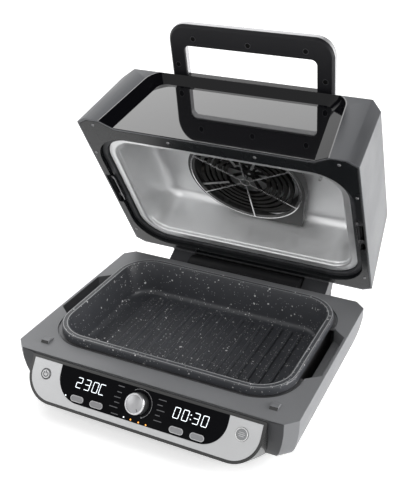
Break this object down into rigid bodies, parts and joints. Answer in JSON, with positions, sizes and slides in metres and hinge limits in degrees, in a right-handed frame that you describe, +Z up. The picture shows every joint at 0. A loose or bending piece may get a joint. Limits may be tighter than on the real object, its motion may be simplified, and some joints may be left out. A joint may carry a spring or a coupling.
{
  "type": "air fryer oven",
  "caption": "Countertop air fryer grill with a hinged lid, drop-in ridged pan, fan and coil in the lid, and a sloped control panel with a dial.",
  "frame": {"origin": "on the table, at the centre of the whole part's footprint with the lid open", "axes": "+X to the right as seen from the front, +Y to the back, +Z up"},
  "size_m": [0.44, 0.5156, 0.4994],
  "materials": {
    "base_plastic": "fine satin, dark grey",
    "dark_plastic": "satin, near black",
    "foot_rubber": "matt",
    "well_steel": "aluminised sheet",
    "rod_metal": "dull heating rod",
    "bright_steel": "bright",
    "pan_coating": "dark speckled non-stick coating",
    "housing_black": "gloss black",
    "fascia_metal": "satin",
    "screen_glass": "smoked black",
    "board": "green board",
    "display_face": "dark display with light segments",
    "knob_metal": "turned, satin",
    "button_grey": "satin",
    "button_dark": "satin",
    "lid_plastic": "fine satin, dark grey",
    "lid_gloss": "piano black",
    "gasket_rubber": "soft grey silicone",
    "liner_metal": "satin drawn sheet",
    "shroud_black": "heat-proof black",
    "motor_metal": "plain",
    "handle_metal": "satin silver"
  },
  "bodies": {
    "base": {"base_shell": "base_plastic", "bottom_cover": "dark_plastic", "rubber_feet": "foot_rubber", "pan_well": "well_steel", "lower_element": "rod_metal", "element_brackets": "bright_steel", "element_bushes": "dark_plastic", "thermal_cutout": "dark_plastic", "lid_rests": "dark_plastic", "power_board": "board", "cord_gland": "dark_plastic", "panel_housing": "housing_black", "hinge_housing": "dark_plastic", "hinge_pins": "bright_steel", "panel_bezel": "fascia_metal", "display_glass": "screen_glass", "control_board": "board", "segment_displays": "display_face", "tactile_switches": "dark_plastic", "rotary_encoder": "bright_steel"},
    "pan": {"cooking_pan": "pan_coating"},
    "knob": {"selector_knob": "knob_metal", "encoder_shaft": "bright_steel"},
    "power": {"power_button": "button_grey"},
    "start": {"start_button": "button_grey"},
    "temperature_down": {"temperature_down_button": "button_dark"},
    "temperature_up": {"temperature_up_button": "button_dark"},
    "time_down": {"time_down_button": "button_dark"},
    "time_up": {"time_up_button": "button_dark"},
    "lid": {"lid_shell": "lid_plastic", "lid_front_panel": "lid_gloss", "lid_rim_plate": "dark_plastic", "lid_gasket": "gasket_rubber", "lid_liner": "liner_metal", "liner_clips": "bright_steel", "fan_shroud": "shroud_black", "fan_guard": "bright_steel", "upper_element": "rod_metal", "element_clips": "bright_steel", "fan_motor": "motor_metal", "motor_bracket": "motor_metal", "cavity_sensor": "bright_steel", "handle_base": "dark_plastic", "handle_grip": "dark_plastic", "handle_band": "handle_metal", "lid_rear_vent": "dark_plastic", "hinge_arms": "dark_plastic"},
    "fan": {"convection_fan": "motor_metal", "motor_shaft": "bright_steel", "cooling_fan": "dark_plastic"}
  },
  "joints": [
    {"name": "lid_hinge", "type": "hinge", "parent": "base", "child": "lid", "pos_m": [0, 0.13185, 0.057], "axis": [-1, 0, 0], "range_deg": [-59, 0]},
    {"name": "pan_lift", "type": "slide", "parent": "base", "child": "pan", "axis": [0, 0, 1], "range_m": [0, 0.06]},
    {"name": "fan_spin", "type": "hinge", "parent": "lid", "child": "fan", "pos_m": [0, 0.14167, 0.26006], "axis": [0, 0.8572, 0.515], "continuous": true},
    {"name": "knob_turn", "type": "hinge", "parent": "base", "child": "knob", "pos_m": [0, -0.23585, 0.0621], "axis": [0, -0.8358, 0.549], "continuous": true},
    {"name": "power_press", "type": "slide", "parent": "base", "child": "power", "axis": [0, 0.8358, -0.549], "range_m": [0, 0.001], "stiffness_N_per_m": 400, "springref_m": -0.001},
    {"name": "start_press", "type": "slide", "parent": "base", "child": "start", "axis": [0, 0.8358, -0.549], "range_m": [0, 0.001], "stiffness_N_per_m": 400, "springref_m": -0.001},
    {"name": "temperature_down_press", "type": "slide", "parent": "base", "child": "temperature_down", "axis": [0, 0.8358, -0.549], "range_m": [0, 0.001], "stiffness_N_per_m": 400, "springref_m": -0.001},
    {"name": "temperature_up_press", "type": "slide", "parent": "base", "child": "temperature_up", "axis": [0, 0.8358, -0.549], "range_m": [0, 0.001], "stiffness_N_per_m": 400, "springref_m": -0.001},
    {"name": "time_down_press", "type": "slide", "parent": "base", "child": "time_down", "axis": [0, 0.8358, -0.549], "range_m": [0, 0.001], "stiffness_N_per_m": 400, "springref_m": -0.001},
    {"name": "time_up_press", "type": "slide", "parent": "base", "child": "time_up", "axis": [0, 0.8358, -0.549], "range_m": [0, 0.001], "stiffness_N_per_m": 400, "springref_m": -0.001}
  ]
}
